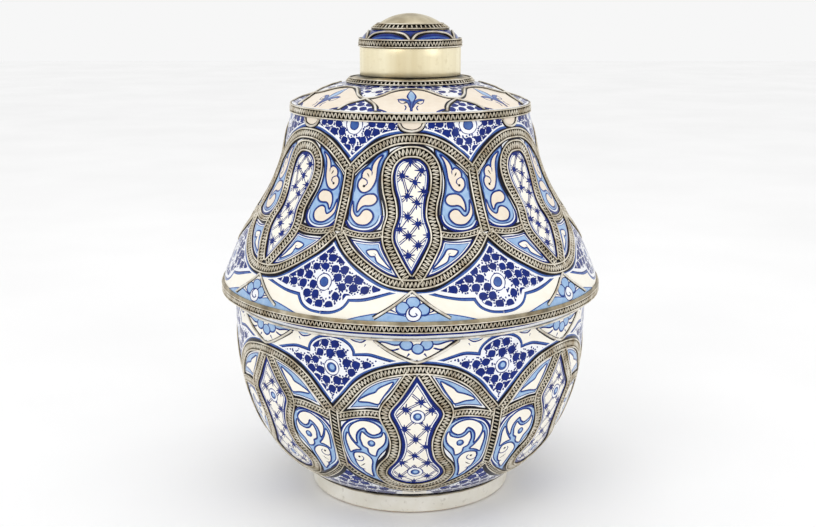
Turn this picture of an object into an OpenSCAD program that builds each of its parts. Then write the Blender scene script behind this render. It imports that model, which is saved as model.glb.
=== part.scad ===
// Lidded earthenware jar dressed with open-work white-metal strips.
// The jar stands on z = 0 with its axis on Z, and a motif is centred near the -Y side.

/* [Pot] */
// Outside radius of the lid at its widest, over the rim band
rim_r = 151; // [148:0.5:156]
// Wall thickness of the thrown clay
wall = 8; // [6:0.5:9]
// Outside radius of the foot at the ground, over the foot band
foot_r = 80.7; // [78:0.1:81]
// Height of the foot, up to the ring round it
foot_h = 14; // [12:0.5:14]
// Angle that the bowl's motifs are turned from the -Y side
bowl_turn = 1.8; // [0:0.1:51]

/* [Lid] */
// Height at which the lid rests on the bowl's rim
seat_z = 165.2; // [164:0.1:168]
// Depth of the flange that centres the lid inside the bowl
flange_h = 8; // [5:0.5:12]
// Outside radius of the knob over its metal band
knob_r = 39.3; // [38.5:0.1:40]
// Height of the silver cap on the knob
cap_h = 11.4; // [8:0.1:14]
// Angle that the lid's motifs are turned from the -Y side
lid_turn = 0.4; // [0:0.1:51]

/* [Metalwork] */
// Width of the two-row strips
strip_w = 6.8; // [5:0.1:7.5]
// Width of the one-row strips
narrow_w = 4.6; // [3.5:0.1:5]
// Width of the plain flat wires
wire_w = 1.8; // [1.5:0.1:3]
// Height that a strip stands above the glaze
strip_t = 1.2; // [0.8:0.1:1.6]
// Thickness of the sheet-metal bands
sheet = 1; // [0.6:0.1:1.2]

/* [Hidden] */
$fn = 96;
motifs = 7;           // medallions round the jar
scallops = 6;         // wire arcs round the knob
motif_a = 360 / motifs;
sink = 0.35;          // depth of a strip's back below the glaze
fine = 4;             // steps between two points of a turned outline
coarse = 2;           // steps between two points of a strip
flange_r = 130;       // outside radius of the lid's centring flange
flange_t = 6;         // thickness of that flange
base_t = 10;          // thickness of the bowl's floor
band_foot = 1.2;      // bare clay left showing under the foot band
lid_r = rim_r - sheet - 0.1;
neck_r = knob_r - sheet;
top_z = 368.2;        // height of the knob's flat top, under the cap
cap_r = 23.6;

// Outside of the clay on the walls: [height, radius]
bowl_line = [[foot_h, foot_r + 0.5], [24, 95.2], [36, 107.7], [50, 118.4], [66, 126.6], [84, 132.8],
             [104, 137.2], [126, 139.5], [148, 140.3], [seat_z, 139.9]];
lid_line = [[170.9, lid_r], [178, lid_r - 2.1], [190, 142.8], [202, 137.3], [216, 129.2],
            [232, 119], [250, 108.8], [268, 101.5], [286, 97.3], [304, 93.2], [311, 92.6]];
// Top of the clay on the shoulder and the knob: [radius, height]
shoulder_line = [[neck_r, 327.4], [50, 325.8], [62, 323.4], [74, 319], [85, 314.8], [92.6, 311]];
knob_line = [[24, top_z], [29.5, 366.4], [34, 363.7], [37, 361], [neck_r, 358.4]];

// Halves of centre lines on the walls, from the side to the middle: [angle, height]
lid_top_arc = [[24.9, 270.6], [20, 279.2], [14, 286.8], [7, 291.8], [0, 293]];
lid_low_arc = [[24.9, 228.4], [20, 217.4], [14, 208], [7, 199.6], [0, 197.3]];
lid_upright = [[0, 270.6], [0, 250], [0, 229]];
lid_key = [[3, 203.6], [5.9, 216], [7.9, 224], [8.1, 231.5], [6.8, 240], [7.2, 248], [9.2, 258],
           [9.7, 268.5], [8.2, 277], [4.6, 282.6], [0, 284]];
lid_tie = [[24.2, 230.2], [21, 228.4], [17, 227.4], [13, 227.5], [9.4, 228.8]];
lid_dart = [[10.3, 175.4], [4.9, 184], [0, 193.4]];
lid_tab = [[5.4, 303.4], [4.4, 300.2], [2.4, 298.5], [0, 297.9]];
bowl_top_arc = [[24.7, 100.8], [21.5, 109.8], [16.8, 122.8], [11.6, 131], [6, 134.9], [0, 136.2]];
bowl_low_arc = [[25, 54], [21.8, 46], [16.8, 38.5], [11.6, 33], [6, 29.8], [0, 28.6]];
bowl_upright = [[0, 101.4], [0, 76], [0, 52.6]];
bowl_key = [[3.2, 130.2], [6.4, 115.5], [9.2, 106], [9.4, 98.5], [7.2, 88], [6.2, 77], [7.4, 65],
            [11, 55.5], [12, 47.5], [9.6, 39.5], [4.8, 35.1], [0, 33.9]];
bowl_tie = [[24.2, 98], [19.8, 101.4], [14.8, 103.4], [10.8, 103]];
bowl_dart = [[12.2, 156.6], [9, 151.4], [5.2, 146.2], [2.2, 142.8], [0, 141.6]];
// Halves of centre lines on the shoulder and the knob: [angle, radius]
shoulder_panel = [[22, 73.6], [17.5, 69.6], [13, 63.5], [9, 59.6], [4.5, 57.8], [0, 57.4]];
shoulder_dart = [[9.6, 91.4], [8.2, 86], [5.4, 81], [0, 75.4]];
knob_arc = [[28.4, 37.4], [25.5, 35], [20, 32.8], [10, 31.2], [0, 30.8]];

// ---------- Lines and curves ----------

function unit(v) = v / norm(v);
function flip(line) = [for (i = [len(line) - 1 : -1 : 0]) line[i]];
function tail(line) = [for (i = [1 : len(line) - 1]) line[i]];
function swap(line) = [for (p = line) [p[1], p[0]]];
function mirrored(line) = [for (p = line) [-p[0], p[1]]];
function turned_by(line, a) = [for (p = line) [p[0] + a, p[1]]];
// A whole line from its half, which ends in the middle
function both(half) = concat(half, tail(flip(mirrored(half))));

// The point at share t of the way from b to c, on a smooth curve through a, b, c and d
function between(a, b, c, d, t) =
    0.5 * (2 * b + (c - a) * t + (2 * a - 5 * b + 4 * c - d) * t * t + (3 * b - a - 3 * c + d) * t * t * t);
// The i-th point of a line, carried on straight past its ends
function at(line, i) =
    i < 0 ? 2 * line[0] - line[1]
    : i >= len(line) ? 2 * line[len(line) - 1] - line[len(line) - 2]
    : line[i];
function smooth(line, steps) = concat(
    [for (i = [0 : len(line) - 2]) for (k = [0 : steps - 1])
        between(at(line, i - 1), line[i], line[i + 1], at(line, i + 2), k / steps)],
    [line[len(line) - 1]]);
function smooth_loop(line, steps) = let (n = len(line))
    [for (i = [0 : n - 1]) for (k = [0 : steps - 1])
        between(line[(i + n - 1) % n], line[i], line[(i + 1) % n], line[(i + 2) % n], k / steps)];

// The direction out of a turned outline of [radius, height] that runs up the outside
function outward(line, i) = let (d = unit(line[min(len(line) - 1, i + 1)] - line[max(0, i - 1)])) [d[1], -d[0]];
function offset_line(line, t) = [for (i = [0 : len(line) - 1]) line[i] + t * outward(line, i)];
// The section of sheet metal laid on part of an outline
function skin(line, first, last, t) = let (over = offset_line(line, t))
    concat([for (i = [first : last]) line[i]], [for (i = [last : -1 : first]) over[i]]);

bowl_side = swap(smooth(bowl_line, fine));
lid_side = concat([[lid_r, seat_z]], swap(smooth(lid_line, fine)));
shoulder_side = flip(smooth(shoulder_line, fine));
knob_side = flip(smooth(knob_line, fine));

// ---------- Strips ----------

// A zone is [does it lie level, its outline to look up, its turn]: a wall gives a radius for a height,
// and a level zone a height for a radius
bowl_zone = [false, swap(bowl_side), bowl_turn];
lid_zone = [false, swap(lid_side), lid_turn];
shoulder_zone = [true, flip(shoulder_side), lid_turn];
knob_zone = [true, flip(knob_side), lid_turn];

// The place of [angle, height or radius] on a zone
function on(zone, p) =
    let (found = lookup(p[1], zone[1]), r = zone[0] ? p[1] : found, z = zone[0] ? found : p[1], a = p[0] + zone[2])
    [r * sin(a), -r * cos(a), z];
function out_of(zone, p) =
    let (e = 0.5, low = on(zone, [p[0], p[1] - e]), high = on(zone, [p[0], p[1] + e]), a = p[0] + zone[2])
    unit(cross([cos(a), sin(a), 0], zone[0] ? low - high : high - low));

// The four corners of a strip's section at each point of its centre line
function sections(zone, line, w, closed) = let (n = len(line), pts = [for (p = line) on(zone, p)])
    [for (i = [0 : n - 1])
        let (before = i > 0 ? pts[i - 1] : closed ? pts[n - 1] : 2 * pts[0] - pts[1],
             after = i < n - 1 ? pts[i + 1] : closed ? pts[0] : 2 * pts[n - 1] - pts[n - 2],
             u = unit(pts[i] - before), v = unit(after - pts[i]),
             face = out_of(zone, line[i]),
             side = unit(cross(face, unit(u + v))) * w / 2 * min(1.7, 1 / sqrt((1 + u * v) / 2)))
        [pts[i] - side - face * sink, pts[i] + side - face * sink,
         pts[i] + side + face * strip_t, pts[i] - side + face * strip_t]];

// A strip of width w bent along a line on a zone
module strip(zone, line, w, closed = false) {
    rings = sections(zone, line, w, closed);
    n = len(rings);
    walls = [for (i = [0 : closed ? n - 1 : n - 2]) for (k = [0 : 3])
        let (j = (i + 1) % n, a = 4 * i + k, b = 4 * i + (k + 1) % 4, c = 4 * j + (k + 1) % 4, d = 4 * j + k)
        each [[a, c, b], [a, d, c]]];
    ends = closed ? [] : [[0, 1, 2], [0, 2, 3],
                          [4 * n - 4, 4 * n - 2, 4 * n - 3], [4 * n - 4, 4 * n - 1, 4 * n - 2]];
    polyhedron(points = [for (ring = rings) each ring], faces = concat(walls, ends));
}

module around(count = motifs) {
    for (i = [0 : count - 1]) rotate([0, 0, i * 360 / count]) children();
}

// The two arches of one medallion, which end on the uprights that it shares with its neighbours
module medallion(zone, top, low, low_w) {
    strip(zone, smooth(both(top), coarse), strip_w);
    strip(zone, smooth(both(low), coarse), low_w);
}

// The keyhole strip inside a medallion, with its two ends on one of the arches
module keyhole(zone, half) strip(zone, smooth(both(half), coarse), strip_w);

// The strips from a keyhole's waist to the uprights, on both sides of each motif
module ties(zone, line) around() {
    strip(zone, smooth(line, coarse), narrow_w);
    strip(zone, smooth(mirrored(line), coarse), narrow_w);
}

// A pointed wire, from its half
module dart(zone, half) strip(zone, both(smooth(half, coarse)), wire_w);

// ---------- Turned parts ----------

module turned(outline) rotate_extrude() polygon(outline);

module bowl_shell() color("whitesmoke") {
    floor_z = foot_h + base_t - 2;
    well = [for (p = offset_line(bowl_side, -wall)) if (p[1] > floor_z + 5 && p[1] < seat_z - 2) p];
    turned(concat(
        [[0, foot_h - 2], [foot_r - 13, foot_h - 2], [foot_r - 11, 0], [foot_r - sheet, 0]],
        [[foot_r - sheet, band_foot], [foot_r - sheet + 0.5, foot_h]],
        bowl_side,
        [[139.9 - wall, seat_z]],
        flip(well),
        [[0, floor_z]]));
}

module foot_band() color("tan")
    turned([[foot_r - sheet, band_foot], [foot_r, band_foot], [foot_r + 0.5, foot_h], [foot_r - sheet + 0.5, foot_h]]);

module base_ring() color("gray") turned(skin(bowl_side, 0, 2, 1.1));

module bowl_rim_wire() color("gray")
    rotate_extrude() translate([140.7, 158]) circle(r = 0.9, $fn = 24);

module lid_shell() color("whitesmoke") {
    bell = [for (p = offset_line(lid_side, -wall)) if (p[1] > seat_z + 14 && p[1] < 302) p];
    hollow_r = neck_r - wall;
    turned(concat(
        lid_side,
        tail(shoulder_side),
        knob_side,
        [[0, top_z]],
        [[0, top_z - wall], [18, top_z - wall - 1], [27, top_z - wall - 6], [hollow_r, 350], [hollow_r, 325],
         [50, 317], [70, 310.8], [80, 306]],
        flip(bell),
        [[flange_r - flange_t, seat_z + 8], [flange_r - flange_t, seat_z - flange_h],
         [flange_r, seat_z - flange_h], [flange_r + 0.4, seat_z]]));
}

module rim_band() color("gray") turned(skin(lid_side, 0, 3, sheet + 0.1));

module shoulder_band() color("gray") {
    n = len(lid_side);
    turned(skin(lid_side, n - 1 - fine, n - 1, sheet));
}

// The punched collar round the neck, and the wire that closes it against the knob
module neck_flange() color("gray") {
    n = len(shoulder_side);
    turned(skin(shoulder_side, n - 1 - fine, n - 1, sheet));
    turned([[neck_r, 328.6], [neck_r + 1.9, 328.6], [neck_r + 1.9, 330.6], [neck_r + 0.8, 331.4], [neck_r, 331.4]]);
}

module knob_band() color("khaki")
    turned([[neck_r, 331.5], [knob_r, 331.5], [knob_r, 353.3], [neck_r, 353.3]]);

module knob_lower_ring() color("gray")
    turned([[neck_r, 353.4], [knob_r + 1, 353.4], [knob_r + 1.1, 357], [knob_r + 0.6, 359.8], [knob_r - 0.6, 360.4],
            [neck_r, 358.4]]);

module knob_upper_ring() color("gray") {
    n = len(knob_side);
    turned(skin(knob_side, n - 1 - fine, n - 1, 1.7));
}

module knob_cap() color("khaki") {
    ball = (cap_r * cap_r + cap_h * cap_h) / (2 * cap_h);
    half = asin(cap_r / ball);
    inside = acos((ball - cap_h) / (ball - sheet));
    dome = [for (k = [0 : 10]) ball * [sin(half * k / 10), cos(half * k / 10)]];
    under = [for (k = [10 : -1 : 0]) (ball - sheet) * [sin(inside * k / 10), cos(inside * k / 10)]];
    translate([0, 0, top_z + cap_h - ball]) turned(concat(dome, under));
}

// ---------- Groups of like strips ----------

module bowl_uprights() color("gray") around()
    strip(bowl_zone, smooth(turned_by(bowl_upright, motif_a / 2), coarse), strip_w);
module bowl_side_strips() color("gray") ties(bowl_zone, bowl_tie);
module bowl_rim_darts() color("gray") around() dart(bowl_zone, bowl_dart);

module lid_uprights() color("gray") around()
    strip(lid_zone, smooth(turned_by(lid_upright, motif_a / 2), coarse), strip_w);
module lid_side_strips() color("gray") ties(lid_zone, lid_tie);
module lid_rim_darts() color("gray") around() dart(lid_zone, lid_dart);
module lid_tab_wires() color("gray") around() strip(lid_zone, smooth(both(lid_tab), coarse), wire_w);

// One wire all the way round the shoulder, along the panels' inner edges
module shoulder_edge_wire() color("gray")
    strip(shoulder_zone, smooth_loop([for (i = [0 : motifs - 1])
        each turned_by(concat([[motif_a / 2, 74.4]], both(shoulder_panel)), -i * motif_a)], coarse), wire_w, true);
module shoulder_darts() color("gray") rotate([0, 0, motif_a / 2]) around() dart(shoulder_zone, shoulder_dart);
module knob_arc_wires() color("gray") around(scallops)
    strip(knob_zone, smooth(turned_by(both(knob_arc), 180 / scallops), coarse), wire_w);

// ---------- Nodes ----------

bowl_shell();
foot_band();
base_ring();
bowl_rim_wire();
bowl_uprights();
bowl_side_strips();
bowl_rim_darts();
lid_shell();
rim_band();
lid_uprights();
lid_side_strips();
lid_rim_darts();
lid_tab_wires();
shoulder_band();
shoulder_edge_wire();
shoulder_darts();
neck_flange();
knob_band();
knob_lower_ring();
knob_arc_wires();
knob_upper_ring();
knob_cap();
for (i = [1 : motifs]) {
    turn = [0, 0, (i - 1) * motif_a];
    color("gray") rotate(turn) medallion(bowl_zone, bowl_top_arc, bowl_low_arc, narrow_w);
    color("gray") rotate(turn) keyhole(bowl_zone, bowl_key);
    color("gray") rotate(turn) medallion(lid_zone, lid_top_arc, lid_low_arc, strip_w);
    color("gray") rotate(turn) keyhole(lid_zone, lid_key);
}
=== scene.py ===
"""A lidded jar of painted glaze, dressed with open-work white-metal strips, on a pale studio floor."""
import math
import random

import bmesh
import bpy
import numpy as np
from mathutils.geometry import delaunay_2d_cdt
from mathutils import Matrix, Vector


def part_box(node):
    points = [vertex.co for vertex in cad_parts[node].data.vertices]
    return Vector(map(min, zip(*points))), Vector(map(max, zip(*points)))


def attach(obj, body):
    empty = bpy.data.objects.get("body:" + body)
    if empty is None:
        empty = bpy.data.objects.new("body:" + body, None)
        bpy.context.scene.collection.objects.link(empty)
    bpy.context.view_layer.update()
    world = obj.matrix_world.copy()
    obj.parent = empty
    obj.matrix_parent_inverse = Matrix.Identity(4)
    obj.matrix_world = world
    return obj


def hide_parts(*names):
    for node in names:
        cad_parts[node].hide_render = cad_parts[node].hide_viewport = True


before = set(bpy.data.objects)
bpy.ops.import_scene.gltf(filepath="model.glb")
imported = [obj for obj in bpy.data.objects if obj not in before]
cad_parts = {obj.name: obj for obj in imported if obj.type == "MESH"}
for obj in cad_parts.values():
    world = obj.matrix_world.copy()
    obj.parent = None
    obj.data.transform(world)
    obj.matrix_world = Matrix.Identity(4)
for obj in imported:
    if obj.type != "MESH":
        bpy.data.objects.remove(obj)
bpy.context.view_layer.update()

MM = 0.001
MOTIFS = 7               # medallions round the jar
STEP = 360 / MOTIFS      # angle from one motif to the next
HALF = STEP / 2
BOWL_TURN = 1.8          # angle of the bowl's first motif from the front
LID_TURN = 0.4           # angle of the lid's first motif from the front
SEGMENTS = 224           # faces round a turned part
GRID_MM = 6              # longest triangle of a painted layer, about
STRIP_W = 7.5            # wide strips
KEY_W = 8.3              # keyhole strips
NARROW_W = 4.8           # narrow strips
BOWL_TIE_W = 6.2         # the strips from the bowl's keyholes to its uprights
WIRE_W = 1.8             # plain flat wires
MM_PER_DEGREE = 2.2      # round the jar, about, where a rough length will do
MM_PER_MM_UP = 1.1       # along the sloping wall, about
FACING = 0.35            # least part of a normal that counts as facing a way


# ---------- Turned surfaces, read from the frame ----------

def rings(node, facing):
    """Radius and height in mm of the rings of a turned CAD node whose faces look "out", "in", "up" or "down"."""
    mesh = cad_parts[node].data
    co = np.array([v.co for v in mesh.vertices]) / MM
    normal = np.array([v.normal for v in mesh.vertices])
    radius = np.hypot(co[:, 0], co[:, 1])
    out = (co[:, 0] * normal[:, 0] + co[:, 1] * normal[:, 1]) / np.maximum(radius, 1e-6)
    share = {"out": out, "in": -out, "up": normal[:, 2], "down": -normal[:, 2]}[facing]
    return np.unique(np.column_stack((radius, co[:, 2]))[share > FACING].round(2), axis=0)


def between(points, column, low, high, under=math.inf):
    """The points whose column lies in a range, in rising order, one for each value, and none above a height."""
    kept = points[(points[:, column] >= low - 0.01) & (points[:, column] <= high + 0.01) & (points[:, 1] < under)]
    kept = kept[np.lexsort((kept[:, 1 - column], kept[:, column]))]
    last = np.append(np.diff(kept[:, column]) > 0.01, True)
    return kept[last]


class Zone:
    """A turned surface. A wall measures its points by [angle, height], a level one by [angle, radius]."""

    def __init__(self, points, level, low, high, turn, knot_mm=7, under=math.inf):
        column = 0 if level else 1
        line = between(points, column, low, high, under)
        count = max(3, round((high - low) / knot_mm))
        self.v = np.linspace(low, high, count + 1)
        self.w = np.interp(self.v, line[:, column], line[:, 1 - column])
        self.slope = np.gradient(self.w, self.v)
        self.level, self.turn, self.low, self.high = level, turn, low, high

    def read(self, v):
        """A wall's radius at a height, or a level zone's height at a radius, and the slope there."""
        v = np.asarray(v, float)
        i = np.clip(np.searchsorted(self.v, v) - 1, 0, len(self.v) - 2)
        h = self.v[i + 1] - self.v[i]
        t = (v - self.v[i]) / h
        a, b, ma, mb = self.w[i], self.w[i + 1], self.slope[i] * h, self.slope[i + 1] * h
        value = a + t * (ma + t * (3 * (b - a) - 2 * ma - mb + t * (2 * (a - b) + ma + mb)))
        slope = (ma + t * (2 * (3 * (b - a) - 2 * ma - mb) + 3 * t * (2 * (a - b) + ma + mb))) / h
        return value, slope

    def scale(self, v):
        """Millimetres for one degree and for one unit of v."""
        w, slope = self.read(v)
        radius = v if self.level else w
        return np.maximum(np.radians(radius), 1e-3), np.hypot(1, slope)

    def place(self, points, lift=0.0):
        """Places in mm of [angle, v] points lifted off the surface, and the surface's normals."""
        points = np.asarray(points, float)
        w, slope = self.read(points[:, 1])
        radius, height = (points[:, 1], w) if self.level else (w, points[:, 1])
        out, up = (-slope, np.ones_like(slope)) if self.level else (np.ones_like(slope), -slope)
        long = np.hypot(out, up)
        a = np.radians(points[:, 0] + self.turn)
        normal = np.column_stack((out / long * np.sin(a), -out / long * np.cos(a), up / long))
        place = np.column_stack((radius * np.sin(a), -radius * np.cos(a), height))
        return place + normal * np.reshape(lift, (-1, 1)), normal


def top_of(node):
    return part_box(node)[1].z / MM


def foot_of(node):
    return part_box(node)[0].z / MM


def reach_of(node):
    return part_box(node)[1].x / MM


SEAT_Z = foot_of("rim_band")             # where the lid rests on the bowl
NECK_R = reach_of("knob_band") - 1       # clay under the knob's band
NECK_FOOT_Z = 327.4                      # where the neck rises from the shoulder
SHOULDER_R = 92.6                        # the shoulder's edge
LID_LOW, LID_HIGH = 171, 311             # the bell's wall
CAP_R = 24.2                             # clay under the cap

bowl_zone = Zone(rings("bowl_shell", "out"), False, 14, SEAT_Z, BOWL_TURN)
lid_zone = Zone(rings("lid_shell", "out"), False, LID_LOW, LID_HIGH, LID_TURN)
shoulder_zone = Zone(rings("lid_shell", "up"), True, NECK_R, SHOULDER_R, LID_TURN, under=NECK_FOOT_Z + 2)
knob_zone = Zone(rings("lid_shell", "up"), True, 24, NECK_R, LID_TURN, 3)


# ---------- Lines ----------

def rough_mm(a, b):
    return math.hypot((b[0] - a[0]) * MM_PER_DEGREE, b[1] - a[1])


def curve(points, step=1.4, closed=False):
    """A smooth line through [angle, v] points, with about step mm between its own."""
    pts = np.asarray(points, float)
    if closed:
        pts = np.vstack((pts[-1], pts, pts[:2]))
    else:
        pts = np.vstack((2 * pts[0] - pts[1], pts, 2 * pts[-1] - pts[-2]))
    out = []
    for a, b, c, d in zip(pts, pts[1:], pts[2:], pts[3:]):
        count = max(1, round(rough_mm(b, c) / step))
        t = (np.arange(count) / count)[:, None]
        out.append(0.5 * (2 * b + (c - a) * t + (2 * a - 5 * b + 4 * c - d) * t ** 2
                          + (3 * b - a - 3 * c + d) * t ** 3))
    if not closed:
        out.append(pts[-2:-1])
    return np.vstack(out)


def mirrored(line):
    return np.asarray(line, float)[::-1] * (-1, 1)


def both(half):
    """A whole line from its half, which ends in the middle."""
    return np.vstack((half, mirrored(half)[1:]))


def joined(*lines):
    return np.vstack(lines)


def unit(vectors):
    return vectors / np.linalg.norm(vectors, axis=1)[:, None]


def outline_of(half):
    """A closed outline from its half, which begins and ends in the middle."""
    return joined(half, mirrored(half)[1:-1])


def with_short_sides(outline, longest=5):
    """A closed outline with points added along its long sides, so that it can bend with the surface."""
    out = []
    for a, b in zip(outline, np.roll(outline, -1, axis=0)):
        count = math.ceil(rough_mm(a, b) / longest)
        out += [a + (b - a) * k / count for k in range(max(1, count))]
    return np.array(out)


def inside(points, outline):
    """Which points a closed outline winds round."""
    x, y = points[:, 0, None], points[:, 1, None]
    a, b = outline, np.roll(outline, -1, axis=0)
    rise = np.where(np.abs(b[:, 1] - a[:, 1]) < 1e-9, 1e-9, b[:, 1] - a[:, 1])
    right = x < a[:, 0] + (y - a[:, 1]) * (b[:, 0] - a[:, 0]) / rise
    up, down = (a[:, 1] <= y) & (b[:, 1] > y), (b[:, 1] <= y) & (a[:, 1] > y)
    return (up & right).sum(axis=1) != (down & right).sum(axis=1)


# ---------- Painting ----------

COLOURS = ["white", "cream", "peach", "wash", "mid", "cobalt", "ink"]
FADING = (0.3, 0.3)      # a stroke that is thin at both its ends


class Painting:
    """Brush work on one motif of a zone, in the order that it's painted. centre and side place what follows."""

    def __init__(self, zone, low, high, ground, count=MOTIFS, seed=1):
        self.zone, self.low, self.high, self.ground, self.count = zone, low, high, ground, count
        self.shapes, self.centre, self.side = [], 0.0, 1
        self.rng = random.Random(seed)

    def at(self, centre, side=1):
        self.centre, self.side = centre, side
        return self

    def moved(self, point, dx, dy):
        """Points dx to the right and dy up the surface, in mm, from one point."""
        across, along = self.zone.scale(point[1])
        return np.column_stack((point[0] + np.asarray(dx) / across, point[1] + np.asarray(dy) / along))

    def fill(self, outline, colour):
        placed = np.array(outline, float) * (self.side, 1) + (self.centre, 0)
        self.shapes.append((placed, COLOURS.index(colour)))

    def band(self, low, high, colour):
        """A band all round the zone."""
        half = 180 / self.count + 1
        self.at(0).fill([(-half, low), (half, low), (half, high), (-half, high)], colour)

    def sides(self, line, reach):
        """A line that runs beside another, reach mm to its left."""
        across, along = self.zone.scale(line[:, 1])
        flat = np.gradient(line, axis=0) * np.column_stack((across, along))
        if np.allclose(line[0], line[-1]):
            flat[0] = flat[-1] = (line[1] - line[-2]) * (across[0], along[0])
        flat /= np.maximum(np.linalg.norm(flat, axis=1), 1e-9)[:, None]
        left = np.column_stack((-flat[:, 1] / across, flat[:, 0] / along))
        return line + left * np.reshape(reach, (-1, 1))

    def stroke(self, line, width, colour, shift=0.0, taper=(1, 1)):
        """A brush stroke along a line, shifted to its left. taper is the width left at each end."""
        line = np.asarray(line, float)
        t = np.linspace(0, 1, len(line))
        swell = np.minimum(1, taper[0] + 5 * t) * np.minimum(1, taper[1] + 5 * (1 - t))
        phase = self.rng.uniform(0, 6)
        half = width / 2 * swell * (1 + 0.12 * np.sin(9 * t + phase))
        self.fill(joined(self.sides(line, shift + half), self.sides(line, shift - half)[::-1]), colour)

    def line(self, points, width, colour="cobalt", shift=0.0, taper=(1, 1)):
        """A brush stroke along a smooth line through a few points."""
        self.stroke(curve(points), width, colour, shift, taper)

    def strokes(self, line, *passes):
        """Strokes along one line, each given by its width, its colour, its shift and, if it has one, its taper."""
        for look in passes:
            self.stroke(line, *look)

    def nest(self, outline, *layers):
        """Fills what is left of an outline further and further in, by pairs of mm and colour. Returns the last."""
        outline = wound(with_short_sides(np.asarray(outline, float), 2))
        for reach, colour in layers:
            inner = outline
            if reach:
                moved = self.sides(np.vstack((outline, outline[:1])), reach)[:-1]
                across, along = self.zone.scale(moved[:, 1])
                apart = np.hypot((moved[:, None, 0] - outline[None, :, 0]) * across[:, None],
                                 (moved[:, None, 1] - outline[None, :, 1]) * along[:, None]).min(axis=1)
                inner = moved[apart > 0.93 * reach]
            if len(inner) > 2:
                self.fill(inner, colour)
        return inner

    def leaf(self, points, width=0.95, ground="cream"):
        """A cream shape with a drawn outline, and a paler brush stroke round it."""
        line = curve(points, 1.1, True)
        round_it = np.vstack((line, line[:1]))
        self.stroke(round_it, width + 1.2, "mid")
        self.fill(line, ground)
        self.stroke(round_it, width, "cobalt")

    def spot(self, at, radius, colour, uneven=0.03, points=14, flat=1.0):
        a = np.arange(points) * 2 * math.pi / points
        r = radius * (1 + uneven * np.array([self.rng.uniform(-1, 1) for _ in a]))
        self.fill(self.moved(at, r * np.cos(a), flat * r * np.sin(a)), colour)

    def petal(self, at, radius, flat=0.85):
        """A pale round petal with a drawn edge, darker below."""
        for grow, rise, colour in ((0.8, 0, "cobalt"), (0, 0, "mid"), (-0.4, 0.4, "wash")):
            self.spot(self.moved(at, 0, rise)[0], radius + grow, colour, 0.03, 18, flat)

    def blob(self, at, radius):
        """A dab of the brush: a rounded square, turned a little each time."""
        turn = self.rng.uniform(0.3, 1.1)
        a = np.arange(12) * math.pi / 6
        r = radius * (1 + 0.06 * np.cos(4 * a)) * (1 + 0.06 * np.array([self.rng.uniform(-1, 1) for _ in a]))
        self.fill(self.moved(at, r * np.cos(a + turn), r * np.sin(a + turn) * 0.95), "cobalt")

    def star(self, at):
        """A dark spot with eight short rays, every other one shorter."""
        reach = 3.9
        self.spot(at, 1.7, "cobalt", 0.12)
        for k in range(8):
            a = k * math.pi / 4 + self.rng.uniform(-0.15, 0.15)
            run = np.linspace(1.2, reach * self.rng.uniform(0.85, 1.1) * (0.7 if k % 2 else 1.15), 4)
            self.stroke(self.moved(at, run * math.cos(a), run * math.sin(a)), 1.0, "cobalt", taper=(1, 0.5))

    def flower(self, at, ring, heart, heart_colour="mid"):
        self.spot(at, ring + 0.7, "cobalt", points=20)
        self.spot(at, ring, "white", points=20)
        self.spot(at, heart + 0.7, "cobalt")
        self.spot(at, heart, "mid")
        self.spot(self.moved(at, 0.1 * heart, 0.1 * heart)[0], heart * 0.62, heart_colour)

    def dabs(self, region, pitch=7.2, radius=3.05, keep_off=(), skew=0.0, specks=7):
        """A white region of close-packed blobs, with small dots between them."""
        self.fill(region, "white")
        between_blobs = ((0.5, 0.15), (0.28, 0.48), (-0.32, 0.44), (0, 0.56), (0.5, -0.15), (0.42, 0.33),
                         (-0.46, 0.26))
        low, high = region.min(axis=0), region.max(axis=0)
        middle = (low + high) / 2
        across, along = self.zone.scale(middle[1])
        rows = int((high[1] - low[1]) * along / pitch / 0.8) + 2
        columns = int((high[0] - low[0]) * across / pitch) + 2
        for row in range(-rows, rows + 1):
            for column in range(-columns, columns + 1):
                dx = (column + 0.5 * (row % 2) + skew) * pitch
                dy = row * pitch * 0.84
                jitter = [self.rng.uniform(-0.6, 0.6) for _ in range(12)]
                spot = self.moved(middle, dx + jitter[0], dy + jitter[1])[0]
                edge = self.moved(spot, np.array((1, -1, 0, 0)) * radius / 2, np.array((0, 0, 1, -1)) * radius / 2)
                if inside(edge, region).all() and not self.near(spot, keep_off, radius):
                    self.blob(spot, radius * (1 + 0.1 * jitter[2]))
                for k, (ox, oy) in enumerate(between_blobs[:specks]):
                    dot = self.moved(middle, dx + ox * pitch + jitter[3 + k], dy + oy * pitch + jitter[5 + k])[0]
                    if inside(dot[None], region)[0] and not self.near(dot, keep_off, 0.6):
                        self.spot(dot, 0.65 + 0.3 * abs(jitter[2]), "cobalt", 0.2, 6)

    def near(self, point, spots, margin):
        for spot, radius in spots:
            across, along = self.zone.scale(point[1])
            if math.hypot((point[0] - spot[0]) * across, (point[1] - spot[1]) * along) < radius + margin:
                return True
        return False

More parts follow.
